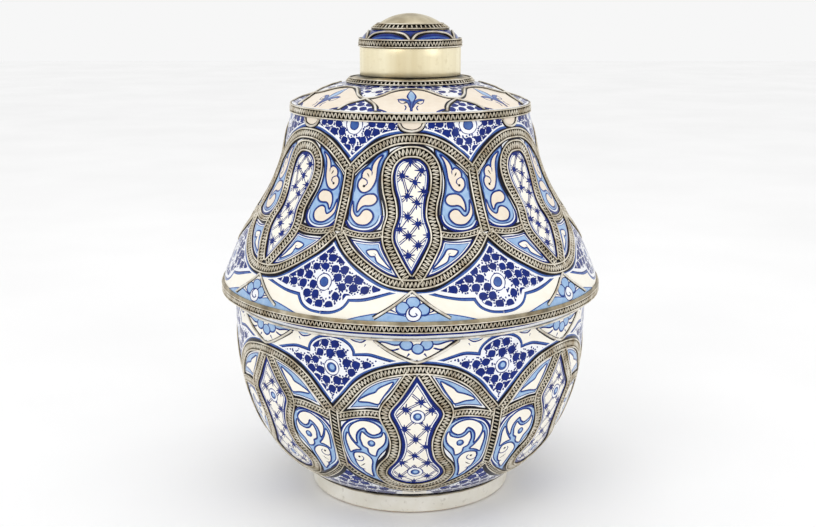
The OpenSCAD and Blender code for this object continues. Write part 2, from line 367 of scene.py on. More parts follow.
    def lattice(self, outline, stars, farthest=17):
        """Pairs of slanting lines from each star to the next ones, or to the outline where there is none."""
        across, along = self.zone.scale(np.mean([v for _, v in stars]))
        spots = np.array(stars) * (across, along)
        for i, spot in enumerate(spots):
            for angle in (45, 135, 225, 315):
                way = np.array((math.cos(math.radians(angle)), math.sin(math.radians(angle))))
                gaps = spots - spot
                far = np.maximum(np.linalg.norm(gaps, axis=1), 1e-6)
                seen = np.flatnonzero((gaps @ way / far > 0.82) & (far > 1) & (far < farthest))
                if len(seen):
                    goal = spots[seen[np.argmin(far[seen])]]
                    if angle > 180:
                        continue
                else:
                    goal = spot + way * farthest
                aside = (goal - spot)[::-1] * (-1, 1) / np.linalg.norm(goal - spot)
                for gap in (-0.65, 0.65):
                    ends = spot + aside * gap, goal + aside * gap
                    line = (ends[0] + (ends[1] - ends[0]) * np.linspace(0, 1, 24)[:, None]) / (across, along)
                    kept = np.append(np.flatnonzero(~inside(line, outline)), len(line))[0]
                    if kept > 2:
                        self.stroke(line[:kept], 0.7, "cobalt")
        for spot in stars:
            self.star(spot)

    def flat(self):
        """The layer as one sheet of triangles: [angle, v] points, triangles and the colour of each."""
        scale = np.array((MM_PER_DEGREE, MM_PER_MM_UP))
        lo, hi = -180 / self.count, 180 / self.count
        loops = [(np.array(((lo, self.low), (hi, self.low), (hi, self.high), (lo, self.high))), 0)]
        for outline, colour in self.shapes:
            for turn in (-2 * hi, 0, 2 * hi):
                moved = outline + (turn, 0)
                if moved[:, 0].max() > lo and moved[:, 0].min() < hi:
                    loops.append((with_short_sides(moved), colour))
        columns = round((hi - lo) * scale[0] / GRID_MM)
        rows = max(2, round((self.high - self.low) * scale[1] / GRID_MM))
        grid = [(a, v) for a in np.linspace(lo, hi, columns + 1) for v in np.linspace(self.low, self.high, rows + 1)]
        points = np.vstack([loop for loop, _ in loops] + [np.array(grid)]) * scale
        edges, first = [], 0
        for loop, _ in loops:
            edges += [(first + i, first + (i + 1) % len(loop)) for i in range(len(loop))]
            first += len(loop)
        points, faces, colours = self.triangles(points, edges, loops, scale)
        sides = np.sort(np.vstack((faces[:, :2], faces[:, 1:], faces[:, ::2])), axis=1)
        lines, which, uses = np.unique(sides, axis=0, return_inverse=True, return_counts=True)
        lowest, highest = np.full(len(lines), len(COLOURS)), np.full(len(lines), -1)
        np.minimum.at(lowest, which.ravel(), np.tile(colours, 3))
        np.maximum.at(highest, which.ravel(), np.tile(colours, 3))
        seen = lines[(uses == 1) | (lowest != highest)]
        used, number = np.unique(seen, return_inverse=True)
        points = np.vstack((points[used], grid)) * scale
        return self.triangles(points, number.reshape(-1, 2).tolist(), loops, scale)

    def triangles(self, points, edges, loops, scale):
        """Points cut into triangles along edges, with the colour of the last loop that goes round each."""
        made = delaunay_2d_cdt([tuple(p) for p in points], edges, [], 0, 1e-4, False)
        points, faces = np.array([tuple(p) for p in made[0]]) / scale, np.array(made[2])
        half = 180 / self.count
        middle = points[faces].mean(axis=1)
        kept = (np.abs(middle[:, 0]) < half) & (middle[:, 1] > self.low) & (middle[:, 1] < self.high)
        faces, middle = faces[kept], middle[kept]
        colours = np.full(len(faces), COLOURS.index(self.ground))
        for loop, colour in loops[1:]:
            low, high = loop.min(axis=0), loop.max(axis=0)
            maybe = np.flatnonzero(((middle > low) & (middle < high)).all(axis=1))
            colours[maybe[inside(middle[maybe], loop)]] = colour
        used, number = np.unique(faces, return_inverse=True)
        return points[used], number.reshape(-1, 3), colours


def wound(outline):
    """An outline that runs anticlockwise from its lowest point."""
    a, b = outline, np.roll(outline, -1, axis=0)
    if (a[:, 0] * b[:, 1] - b[:, 0] * a[:, 1]).sum() < 0:
        outline = outline[::-1]
    return np.roll(outline, -int(np.argmin(outline[:, 1])), axis=0)


def drift(angle, v, low, high):
    """How far the brush has wandered, in mm across and along: a slow wave that closes on itself round the jar."""
    a = np.radians(angle)
    fade = np.clip((v - low) / 8, 0, 1) * np.clip((high - v) / 8, 0, 1)
    across = 0.34 * np.sin(11 * a + 0.11 * v) + 0.22 * np.sin(23 * a - 0.17 * v + 2)
    along = 0.30 * np.sin(13 * a - 0.09 * v + 1) + 0.22 * np.sin(19 * a + 0.15 * v)
    return across * fade, along * fade


# ---------- Meshes ----------

def put(name, data):
    """A new object in the scene."""
    item = bpy.data.objects.new(name, data)
    bpy.context.scene.collection.objects.link(item)
    return item


class Builder:
    """Gathers the points, faces and materials of one piece, in mm."""

    def __init__(self):
        self.co, self.normal, self.rub, self.faces, self.slots, self.count = [], [], [], [], [], 0

    def add(self, co, faces, slot=0, normal=None, rub=None):
        """Adds points and faces, and returns the number of the first point."""
        first = self.count
        self.co.append(np.asarray(co, float))
        self.normal.append(np.zeros_like(co) if normal is None else normal)
        self.rub.append(np.ones(len(co)) if rub is None else rub)
        self.faces += [tuple(int(i) + first for i in face) for face in faces]
        self.slots += list(np.broadcast_to(slot, len(faces)))
        self.count += len(co)
        return first

    def ring(self, radius, height):
        """A ring of points round the axis, as its point numbers and angles."""
        angles = np.arange(SEGMENTS) * 360 / SEGMENTS
        a = np.radians(angles)
        co = np.column_stack((radius * np.sin(a), -radius * np.cos(a), np.full(SEGMENTS, float(height))))
        return self.add(co, []) + np.arange(SEGMENTS), angles

    def seam(self, lower, upper, slot=0):
        """Triangles between two rings, whatever their numbers of points."""
        (a, turn_a), (b, turn_b) = lower, upper
        turn_a, turn_b = np.append(turn_a, turn_a[0] + 360), np.append(turn_b, turn_b[0] + 360)
        i = j = 0
        while i < len(a) or j < len(b):
            if j == len(b) or (i < len(a) and turn_a[i + 1] <= turn_b[j + 1]):
                self.faces.append((int(a[i]), int(a[(i + 1) % len(a)]), int(b[j % len(b)])))
                i += 1
            else:
                self.faces.append((int(a[i % len(a)]), int(b[(j + 1) % len(b)]), int(b[j])))
                j += 1
            self.slots.append(slot)

    def lathe(self, outline, slot=0, first=None, last=None):
        """Turns an outline of (radius, height), joined to the rings first and last if they are given. It may end on
        the axis."""
        before = first
        for radius, height in outline:
            if radius < 0.01:
                tip = self.add([(0, 0, height)], [])
                ring, _ = before
                self.faces += [(int(p), int(q), tip) for p, q in zip(ring, np.roll(ring, -1))]
                self.slots += [slot] * len(ring)
                return None
            now = self.ring(radius, height)
            if before is not None:
                self.seam(before, now, slot)
            before = now
        if last is not None:
            self.seam(before, last, slot)
        return before

    def skin(self, painting):
        """Lays a painting round the jar, and returns its border rings."""
        points, faces, colours = painting.flat()
        zone, step = painting.zone, 360 / painting.count
        count = len(points)
        everywhere = np.vstack([points + (k * step, 0) for k in range(painting.count)])
        key = np.column_stack((np.mod(everywhere[:, 0] + 1e-4, 360), everywhere[:, 1])).round(3)
        _, kept, number = np.unique(key, axis=0, return_index=True, return_inverse=True)
        number = number.ravel()
        merged = everywhere[kept]
        triangles = np.vstack([number[faces + k * count] for k in range(painting.count)])
        whole = (triangles != np.roll(triangles, 1, axis=1)).all(axis=1)
        shade = np.tile(colours, painting.count)
        across, along = zone.scale(merged[:, 1])
        dx, dy = drift(merged[:, 0], merged[:, 1], painting.low, painting.high)
        co, normal = zone.place(merged + np.column_stack((dx / across, dy / along)))
        first = self.add(co, triangles[whole], shade[whole], normal)
        borders = []
        for v in (painting.low, painting.high):
            found = np.flatnonzero(np.abs(merged[:, 1] - v) < 1e-4)
            angles = np.mod(merged[found, 0] + zone.turn, 360)
            order = np.argsort(angles)
            borders.append((found[order] + first, angles[order]))
        return borders

    def make(self, name, materials, body, node):
        """The finished piece, which rides on a body and stands for a CAD node."""
        co = np.vstack(self.co)
        mesh = bpy.data.meshes.new(name)
        mesh.from_pydata((co * MM).tolist(), [], self.faces)
        for material in materials:
            mesh.materials.append(material)
        mesh.polygons.foreach_set("material_index", np.array(self.slots, np.int32))
        # rub: painted highlight on what stands proud and painted shade in hollows, with wear, read by the metal's
        # material
        rub = mesh.attributes.new("rub", "FLOAT", "POINT")
        rub.data.foreach_set("value", np.concatenate(self.rub).astype(np.float32))
        work = bmesh.new()
        work.from_mesh(mesh)
        bmesh.ops.recalc_face_normals(work, faces=work.faces)
        work.to_mesh(mesh)
        work.free()
        mesh.polygons.foreach_set("use_smooth", np.ones(len(mesh.polygons), bool))
        mesh.update()
        given = np.vstack(self.normal)
        if np.any(given):
            own = np.zeros(len(co) * 3, np.float32)
            mesh.vertices.foreach_get("normal", own)
            own = own.reshape(-1, 3)
            known = np.linalg.norm(given, axis=1) > 0.5
            own[known] = given[known]
            mesh.normals_split_custom_set_from_vertices(own.tolist())
        piece = put(name, mesh)
        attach(piece, body)
        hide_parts(node)


# ---------- The lid's painting ----------

LID_TOP_ARC = [[24.9, 270.6], [20, 279.2], [14, 286.8], [7, 291.8], [0, 293]]
LID_LOW_ARC = [[24.9, 228.4], [20, 217.4], [14, 208], [7, 199.6], [0, 197.3]]
LID_UPRIGHT = [[0, 270.6], [0, 250], [0, 229]]
LID_KEY = [[1.3, 200.6], [2.4, 203.6], [5.9, 216], [7.8, 224], [8, 231.5], [7, 240], [7.6, 248.5], [9.2, 258],
    [9.7, 268.5], [8.2, 277], [4.6, 282.6], [0, 284]]
LID_TIE = [[24.2, 230.2], [21, 228.4], [17, 227.4], [13, 227.5], [9.4, 228.8]]
LID_DART = [[10.3, 175.4], [4.9, 184], [0, 193.4]]
LID_TAB = [[5.4, 303.4], [4.4, 300.2], [2.4, 298.5], [0, 297.9]]

LID_STARS = [(0, 277), (4, 271), (-3.5, 267), (1.3, 263), (5, 257), (-1.8, 254), (2, 249.5), (-1.5, 240.5), (2, 236),
    (-4, 232.5), (5.5, 228.5), (-1, 228), (2, 222), (-1, 215.5)]


def medallion_ground(p, top, low, corners, key, upright, tie, tie_w):
    """White within the arches, and a dark line along each strip that paints the strip's shadow on the glaze, partly
    dark paint.
    """
    half = joined(curve(low)[::-1], [(HALF, z) for z in corners], curve(top))
    p.at(0).fill(outline_of(half), "white")
    for side in (1, -1):
        p.at(0, side)
        # painted shadow: a dark line wider than each strip, showing on both its sides
        for line, width in ((top, STRIP_W), (low, STRIP_W), (key, KEY_W), (tie, tie_w)):
            p.line(line, width + 2.8, "ink")
        p.at(HALF * side).line(upright, STRIP_W + 2.8, "ink")


def corner_gap(arc, key, tie, part):
    """The outline of the gap between an arch, a part of the keyhole and the tie, by the middles of their strips."""
    arc, key, tie = curve(arc), curve(key), curve(tie)
    return joined(arc[arc[:, 0] > 1], key[part(key[:, 1])], tie[::-1])


def keyhole(p, key, tip, stars, *layers):
    """The starred ground inside a keyhole strip, within lines that follow it."""
    half = joined([(0, tip)], curve(key))
    ground = p.at(0).nest(outline_of(half), *layers)
    p.lattice(ground, stars)


def lid_medallion(p):
    """The white ground of a medallion, two scrolled lobes, two small corner leaves and the starred keyhole."""
    medallion_ground(p, LID_TOP_ARC, LID_LOW_ARC, (229, 270.6), LID_KEY, LID_UPRIGHT, LID_TIE, NARROW_W)
    for side in (1, -1):
        p.at(0, side)
        lobe = curve([(9.2, 286), (13.4, 283), (15.8, 279.8), (18.9, 274.2), (22, 268.8), (23.5, 264.5), (23.5, 259),
            (23.4, 252), (23.4, 245), (23.6, 238), (23, 233), (20.4, 230.2), (17, 229.4), (14.2, 229.9), (11.6, 231.9),
            (10.2, 235.8), (10.1, 240), (10.5, 245), (11.3, 250.5), (12.4, 257), (12.9, 263.5), (12.7, 268), (12, 273),
            (10.9, 277.4), (9.4, 281)], closed=True)
        # the dark outer layer along the strips is painted shadow, partly dark paint
        p.nest(lobe, (0, "ink"), (1.1, "mid"), (1.9, "wash"))
        p.line([(12.3, 281), (13.1, 276.5), (13.7, 270), (13.8, 263), (13.2, 256), (12.2, 251.5)], 0.9, "mid",
            taper=(0.2, 0.2))
        p.line([(19.6, 271.6), (21.6, 267.5), (22.4, 262), (22.2, 255.5)], 1.2, "mid", taper=(0.2, 0.2))
        bottom = curve([(23.4, 236.6), (21.8, 233.4), (19.7, 231.6), (17, 230.9), (14.4, 231.6), (12.3, 233.8),
            (11.2, 236.7), (10.8, 240.5)])
        p.strokes(bottom, (1.8, "cobalt", 0.9), (0.9, "white", -0.4, FADING), (0.8, "cobalt", -1.7, FADING))
        p.leaf([(11.7, 281.4), (13.2, 277.6), (14, 273.8), (14.3, 269.8), (14.5, 265.5), (15.1, 261.4), (16.2, 257.7),
            (17.5, 256), (18.9, 255.5), (20.2, 256.7), (21.2, 259.2), (21.3, 261.8), (20.9, 263.8), (20.1, 265.3),
            (20.2, 267.5), (19.7, 270), (18.6, 271.7), (17.3, 272), (16.5, 270.8), (16.1, 274.2), (15.1, 277.4),
            (13.6, 279.9)], ground="peach")
        p.line([(20.4, 265.2), (19.2, 264.9), (18, 263.6), (17.7, 261.8), (18.4, 260.3)], 0.85, taper=(0.5, 0.8))
        p.spot((18.9, 259.8), 1.0, "ink")
        p.line([(16.5, 271.2), (16.2, 269.6), (16.3, 267.4)], 0.7, taper=(1, 0.2))
        p.stroke([(18.1, 268.8), (17.7, 267.6), (17.2, 266)], 1.0, "ink", taper=(0.6, 0.2))
        p.leaf([(15.5, 254.4), (14.2, 254.1), (13.2, 252.4), (12.9, 250.3), (13.4, 248.4), (14.4, 247.1), (15.8, 246.7),
            (17.4, 246.8), (18.7, 245.6), (19.9, 242.6), (20.3, 246), (20.1, 249), (19.2, 252.2), (17.6, 254)],
            ground="peach")
        p.leaf([(22.5, 249.8), (22, 246.5), (21.6, 243.6), (20.7, 241), (19.4, 239.5), (18.5, 240.8), (17.6, 243.4),
            (16.3, 244.2), (15, 243.5), (14, 241.8), (13.6, 239.6), (14.1, 237), (15.3, 234.8), (16.9, 234.1),
            (18.8, 234.5), (20.3, 236.2), (21.6, 238.6), (22.5, 241.4), (22.7, 245)], ground="peach")
        corner = corner_gap(LID_LOW_ARC, LID_KEY, LID_TIE, lambda z: z < 228)
        p.nest(corner, (4.4, "cobalt"), (5.4, "white"), (6.1, "mid"), (6.6, "wash"))
        p.leaf([(14.3, 218), (11.3, 219.1), (9.8, 215.3), (7.9, 210.5), (6.4, 206.9), (8.9, 209.4), (10.7, 211.8),
            (11.4, 215), (12.9, 215)], 0.7)
        p.line([(11.4, 215), (11.3, 216.4), (12.1, 217)], 0.55, taper=(1, 0.2))
    # the first dark layer, along the keyhole strip, is painted shadow, partly dark paint
    keyhole(p, LID_KEY, 197, LID_STARS, (3.9, "ink"), (4.9, "cobalt"), (6.3, "white"), (7.0, "mid"), (7.5, "cream"))


def field_edge(p, arc, outside):
    """A blue line and a white one round the outside of a medallion's arch."""
    for side in (1, -1):
        p.at(0, side).strokes(curve(arc), (4.2, "cobalt", outside * 4.4), (1.3, "mid", outside * 5.7),
                              (1.1, "white", outside * 7.0))


def lid_fields(p):
    """The dotted fields between the medallions, above and below, each round a flower."""
    flower = (0, 302)
    edge = curve([(0, 275.2), (3, 280.3), (5.7, 284.6), (8.5, 288.8), (10.7, 291.4), (15.7, 294.8), (20.6, 297.2)])
    p.at(HALF)
    region = joined(edge, [(20.6, 306), (-20.6, 306)], mirrored(edge)[:-1])
    p.dabs(region, keep_off=[(flower, 6.8)])
    field_edge(p, LID_TOP_ARC, -1)
    p.at(HALF).flower(flower, 6.6, 3.3)

    low_flower = (-0.3, 196)
    top = curve([(0, 221.5), (3, 216.8), (5.7, 212), (8, 207.8), (10.7, 203.3), (15.7, 197.6), (20.9, 193.9)])
    low = joined(curve([(20.9, 193.6), (16, 190.5), (12, 188.4), (7.7, 187.5)]), curve([(7.7, 187.5), (7.1, 184.8),
        (5.8, 181.3), (3.3, 178.8), (0, 178)])[1:])
    half = joined(top, low)
    region = outline_of(half)
    p.dabs(region, pitch=7.8, radius=3.25, keep_off=[(low_flower, 5.7)], skew=0.25)
    for side in (1, -1):
        p.at(HALF, side).strokes(low, (2.6, "white", -0.7), (2.3, "cobalt", 1.5), (1.3, "mid", 1.8))
    field_edge(p, LID_LOW_ARC, 1)
    p.at(HALF).flower(low_flower, 5.6, 3.0)


def lid_rim(p):
    """A pale wave along the rim, and a flower head in each dart."""
    wave = both(curve([(18, 173), (13.4, 176.2), (9.5, 178.4), (6.8, 179.2), (4, 178.2), (0, 176.4)]))
    p.at(0).fill(wave, "wash")
    p.stroke(wave, 0.8, "mid")
    for side in (1, -1):
        p.at(0, side).stroke([(4.4, 179.4), (6.6, 181.9)], 1.6, "cobalt", taper=(0.3, 1))
    p.at(0).petal((0.1, 185.8), 4.7, 0.8)
    p.petal((-2.7, 182), 4.3, 0.95)
    p.petal((3, 181.6), 4.2, 0.95)
    for radius, colour in ((5.9, "cobalt"), (5.1, "white")):
        p.spot((0.3, 178.6), radius, colour, points=20, flat=0.92)
    p.line([(0.4, 183.6), (-0.8, 181.4), (-0.9, 178.6), (0.2, 176.9), (1.3, 178), (0.8, 179.4)], 1.1, taper=(1, 0.6))
    # painted shadow: a dark line just wider than the dart wire
    p.stroke(both(curve(LID_DART)), WIRE_W + 1.1, "ink")


def painted_lid():
    p = Painting(lid_zone, LID_LOW, 310.4, "cream", seed=4)
    lid_rim(p)
    lid_fields(p)
    tab = both(curve([(6.4, 306), (5.6, 302), (4.2, 299.6), (2.4, 298.2), (0, 297.7)]))
    p.at(0).fill(tab, "peach")
    # painted shadow: a dark line just wider than the tab wire
    p.stroke(both(curve(LID_TAB)), WIRE_W + 1.4, "ink")
    lid_medallion(p)
    return p


# ---------- The bowl's painting ----------

BOWL_TOP_ARC = [[24.7, 100.8], [21.5, 109.8], [16.8, 122.8], [11.6, 131], [6, 134.9], [0, 136.2]]
BOWL_LOW_ARC = [[25, 54], [21.8, 46], [16.8, 38.5], [11.6, 33], [6, 29.8], [0, 28.6]]
BOWL_UPRIGHT = [[0, 101.4], [0, 76], [0, 52.6]]
BOWL_KEY = [[1.7, 133], [2.5, 129.6], [6, 116], [9, 106.4], [9.5, 99], [7.5, 88], [6.6, 77], [7.8, 65], [11.1, 55.5],
    [12, 47.5], [9.6, 39.5], [4.8, 35.1], [0, 33.9]]
BOWL_TIE = [[24.2, 96.4], [19.8, 99.6], [14.8, 101.6], [10.8, 101.2]]
BOWL_DART = [[12.2, 156.6], [9, 151.4], [5.2, 146.2], [2.2, 142.8], [0, 141.6]]

BOWL_STARS = [(1.3, 111.5), (-3.2, 105.5), (4.7, 105.5), (-3.6, 90), (3.5, 90), (-0.3, 81), (3, 74), (-0.6, 66),
    (-4.6, 59.5), (3.8, 59.5), (-5.2, 45.5), (4.4, 45.5), (-0.5, 40)]


def bowl_medallion(p):
    """The white ground of a medallion, two drops full of scrolls, two small corner leaves and the starred keyhole."""
    medallion_ground(p, BOWL_TOP_ARC, BOWL_LOW_ARC, (54, 100.8), BOWL_KEY, BOWL_UPRIGHT, BOWL_TIE, BOWL_TIE_W)
    for side in (1, -1):
        p.at(0, side)
        corner = corner_gap(BOWL_TOP_ARC, BOWL_KEY, BOWL_TIE, lambda z: z > 103)
        p.nest(corner, (4.5, "white"), (5.3, "cobalt"), (6.0, "wash"))
        p.leaf([(6.9, 126.4), (9, 124), (11, 121), (12.1, 117.9), (14.2, 116), (16.8, 112.8), (17.4, 110.8),
            (14.3, 110.4), (11.3, 108.9), (10.4, 111.8), (9.2, 116.3), (7.9, 121.2)], 0.8)
        drop = curve([(12.6, 97.2), (16, 98), (19.4, 96.3), (21.9, 93), (23.7, 88), (24.6, 82), (24.9, 75), (25, 67),
            (24.8, 61), (24, 55), (22, 50), (19, 44.5), (15, 39.6), (11.8, 36.4), (13.6, 42), (14, 49), (13.4, 56),
            (12.3, 62.6), (10.9, 67.4), (9.2, 72), (8.5, 77), (8.5, 83), (8.9, 88), (9.8, 92), (11, 95.4)], closed=True)
        # the dark outer layer along the strips is painted shadow, partly dark paint
        p.nest(drop, (0, "ink"), (0.6, "cobalt"), (1.1, "wash"))
        left = curve([(10.4, 93.6), (11.6, 95.6), (14.2, 97.4), (17.4, 97.4), (20.2, 95.6), (22.4, 92), (24.1, 86),
            (24.8, 80), (25, 72), (24.9, 64), (24.2, 56), (22.2, 50.4), (19, 44.6)])
        p.strokes(left, (2.0, "cobalt", -1.0, FADING), (0.9, "white", -2.4, FADING), (0.8, "cobalt", -3.4, FADING))
        p.leaf([(21.7, 83.6), (21.2, 81), (20.6, 77.4), (19.4, 73.4), (18.2, 70.2), (19.6, 69.4), (21, 67.9),
            (22, 66.4), (22.3, 71), (22.5, 75.5), (22.4, 79.8)])
        p.leaf([(13.3, 83.4), (11.6, 85.5), (11, 88.4), (11.7, 91), (12.9, 93.2), (14.8, 94.6), (16.9, 94.5),
            (18.6, 93), (20.1, 90.4), (21, 87), (21, 83.4), (20.3, 79), (19.1, 75.2), (19, 79.8), (18.6, 83.6),
            (17.6, 86.7), (16.3, 88.6), (15.8, 87.6), (15.4, 85.6), (14.5, 83.9)])
        p.leaf([(17, 85), (17.7, 80), (17.4, 76), (17.1, 73.6), (15.6, 71.4), (15.5, 68.8), (14.7, 66.4), (13.1, 65.4),
            (12.7, 68), (12.1, 71.3), (10.9, 74), (10, 77.2), (9.7, 81.5), (9.9, 84.5), (10.5, 86.2), (11.1, 82.6),
            (13.4, 80.7), (15, 81.4), (16.1, 83.4)])
        p.line([(10.9, 84.8), (12, 82.6), (13.6, 82), (15.2, 82.9), (15.9, 84.6)], 0.5, "wash", taper=FADING)
        p.spot((14.3, 76.1), 3.0, "cobalt")
        p.spot((14.3, 76.2), 2.3, "mid")
        p.spot((14.2, 76.6), 1.4, "wash")
        p.leaf([(21.2, 63.2), (20.8, 65.8), (19.7, 66.9), (18, 67.3), (16.6, 66.5), (15.3, 64.2), (14.6, 61.1),
            (14.7, 58.5), (15.2, 55), (15.6, 51.2), (15.8, 47.5), (16, 43.6), (17.4, 46), (18.6, 48.6), (18.9, 51),
            (19.9, 52.4), (20.7, 56), (21, 59.4)])
        p.line([(21, 60.4), (20.2, 59), (19, 58.9), (17.9, 60.4), (17.7, 62.7), (18.4, 64.2)], 0.85, taper=(0.8, 0.4))
        p.spot((19.2, 63), 1.0, "ink")
        p.line([(19.4, 54), (18.6, 55), (17.5, 57)], 0.8, "ink", taper=(0.5, 0.2))
        p.line([(19.3, 50.8), (18.6, 51.2), (17.8, 50.6)], 0.7, taper=(0.8, 0.2))
    # the first dark layer, along the keyhole strip, is painted shadow, partly dark paint
    keyhole(p, BOWL_KEY, 139, BOWL_STARS,
            (4.0, "ink"), (4.6, "cobalt"), (7.0, "white"), (7.8, "cobalt"), (8.4, "cream"))
    p.flower((0.5, 100), 5.0, 2.6, "wash")
    p.flower((0, 50), 5.0, 2.6, "wash")


def bowl_fields(p):
    """The dotted fields between the medallions, and what is left of them near the foot."""
    flower = (0.3, 134)
    dome = curve([(0, 157), (3.3, 155.5), (5.8, 152), (6.9, 148), (7, 144.5)])
    arm = curve([(7, 144.5), (9.5, 145.5), (12, 145.8), (15.2, 144), (19.4, 141)])
    low = curve([(19.4, 140.6), (13.9, 136.5), (8.9, 128.5), (3.9, 115.8), (0, 106)])
    half = joined(dome, arm[1:], low)
    region = outline_of(half)
    p.at(HALF).dabs(region, pitch=8.0, radius=3.4, keep_off=[(flower, 5.8)])
    for side in (1, -1):
        p.at(HALF, side).strokes(joined(dome, arm[1:]), (2.4, "cobalt", 0.6), (1.1, "mid", 1.0), (1.1, "white", -1.1))
    field_edge(p, BOWL_TOP_ARC, -1)
    p.at(HALF).flower(flower, 5.4, 3.1, "wash")
    foot = curve([(0, 50), (6, 38), (14, 29), (20, 25.4)])
    region = joined(foot, [(20, 16), (-20, 16)], mirrored(foot)[:-1])
    p.dabs(region, pitch=9.0, radius=3.9)
    for side in (1, -1):
        p.at(HALF, side).stroke(foot, 1.6, "cobalt", 0.4)


def bowl_rim(p):
    """A white band with a blue line under the lid, and a pale cloud in each dart."""
    p.band(158, 165, "white")
    p.band(160.7, 163.2, "cobalt")
    for side in (1, -1):
        p.at(0, side)
        mound = curve([(13.4, 158.6), (11.8, 155.6), (10, 156), (8.4, 155.4), (6.3, 154.2), (4.4, 155), (3.2, 157.4)])
        p.fill(joined(mound, [(3.2, 159), (13.4, 159)]), "wash")
        p.stroke(mound, 1.1, "cobalt")
        p.petal((2.9, 154.2), 4.2, 0.85)
        p.line([(9.6, 153), (8.6, 151.2), (6.8, 150.4), (4.9, 151.8)], 1.3, taper=(0.3, 0.5))
        p.stroke([(2.2, 148), (3, 145.6)], 1.3, "cobalt", taper=(1, 0.5))
        p.line([(9.6, 153.5), (11.4, 153.2)], 0.9, taper=(0.3, 0.5))
        p.line([(14.6, 157.4), (16.2, 155), (18, 155.4), (19.4, 156.8)], 1.0, taper=(0.4, 0.4))
        p.line([(15, 158), (16.8, 156.6), (18.6, 157.6)], 1.6, "wash", taper=(0.4, 0.4))
        p.stroke([(15, 153.8), (15.4, 152)], 0.9, "cobalt", taper=(1, 0.3))
    p.at(0).petal((0.3, 151.4), 4.0, 0.9)
    # painted shadow: a dark line just wider than the dart wire
    p.stroke(both(curve(BOWL_DART)), WIRE_W + 1.1, "ink")


def painted_bowl():
    p = Painting(bowl_zone, 16, 164.2, "cream", seed=9)
    bowl_rim(p)
    bowl_fields(p)
    bowl_medallion(p)
    # painted shadow: a dark band showing just above the base ring
    p.band(16, 20.4, "ink")
    return p


# ---------- The shoulder's and the knob's painting ----------

SHOULDER_PANEL = [[22, 73.6], [17.5, 69.6], [13, 63.5], [9, 59.6], [4.5, 57.8], [0, 57.4]]
SHOULDER_DART = [[9.6, 91.4], [8.2, 86], [5.4, 81], [0, 75.4]]
KNOB_ARC = [[28.4, 37.8], [25.5, 36.2], [20, 34.4], [10, 32.8], [0, 32.4]]


def painted_shoulder():
    """Plain warm panels with a blue lily each, and dotted fields between them."""
    p = Painting(shoulder_zone, NECK_R + 0.6, SHOULDER_R - 0.5, "peach", seed=12)
    half = curve(joined([(HALF, 74.4)], SHOULDER_PANEL))
    neck = joined(half, mirrored(half)[1:], [(-HALF, 30), (HALF, 30)])
    p.at(0).dabs(neck, pitch=6.6, radius=3.0, specks=1)
    side = curve([(14.5, 94), (9.8, 91.4), (8.4, 86), (5.6, 81), (0, 75)])[4:]
    gore = outline_of(side)
    p.at(HALF).dabs(gore, pitch=6.9, radius=3.1, specks=1)
    for turn in (1, -1):
        # painted shadow: dark lines wider than the shoulder's wires
        p.at(HALF, turn).stroke(side, WIRE_W + 2.6, "ink")
        p.at(0, turn).stroke(half, WIRE_W + 2.6, "ink", 0.2)
        p.line([(20, 92), (16, 89.4), (12.6, 91), (10.5, 93.5)], 2.2, taper=FADING)
        arm = curve([(0, 82), (1.4, 76.6), (4.4, 73.4), (7.8, 74.8), (6.2, 76.6), (4, 77.8), (2.2, 81), (0.8, 87)],
            closed=True)
        p.nest(arm, (0, "cobalt"), (0.8, "mid"))
        p.line([(7, 75.8), (6.4, 79), (4.6, 81.6), (3.2, 80.6)], 0.9, taper=(0.8, 0.4))
        p.spot((3.3, 80.2), 1.1, "ink")
        p.line([(3.4, 83.6), (2.5, 86.4), (3, 90)], 1.0, taper=(0.6, 0.3))
    p.at(0)
    leaf = both(curve([(0.6, 91), (0.9, 84), (1.5, 77), (3.1, 71), (2.3, 65.6), (0, 58.6)]))
    p.nest(leaf, (0, "cobalt"), (0.9, "mid"))
    p.nest(curve([(0, 61.4), (1.6, 66.8), (1.9, 71), (0, 78), (-1.9, 71), (-1.6, 66.8)], closed=True), (0, "wash"))
    return p


def painted_knob():
    """Blue enamel round the top, with a dark line along each wire: painted shadow, partly dark paint."""
    p = Painting(knob_zone, CAP_R, NECK_R - 0.4, "cobalt", count=6, seed=15)
    arc = curve(both(KNOB_ARC))
    # painted shadow: a dark line wider than each arc wire
    p.at(30).stroke(arc, WIRE_W + 3, "ink")
    p.line(both([[25, 38.4], [14, 37], [0, 36.4]]), 1.6, "mid", taper=(0.2, 0.2))
    return p


# ---------- Materials ----------

def linear(colour):
    """An sRGB colour, 0 to 255, as Blender's linear one."""
    return tuple(c / 255 / 12.92 if c < 11 else ((c / 255 + 0.055) / 1.055) ** 2.4 for c in colour) + (1,)


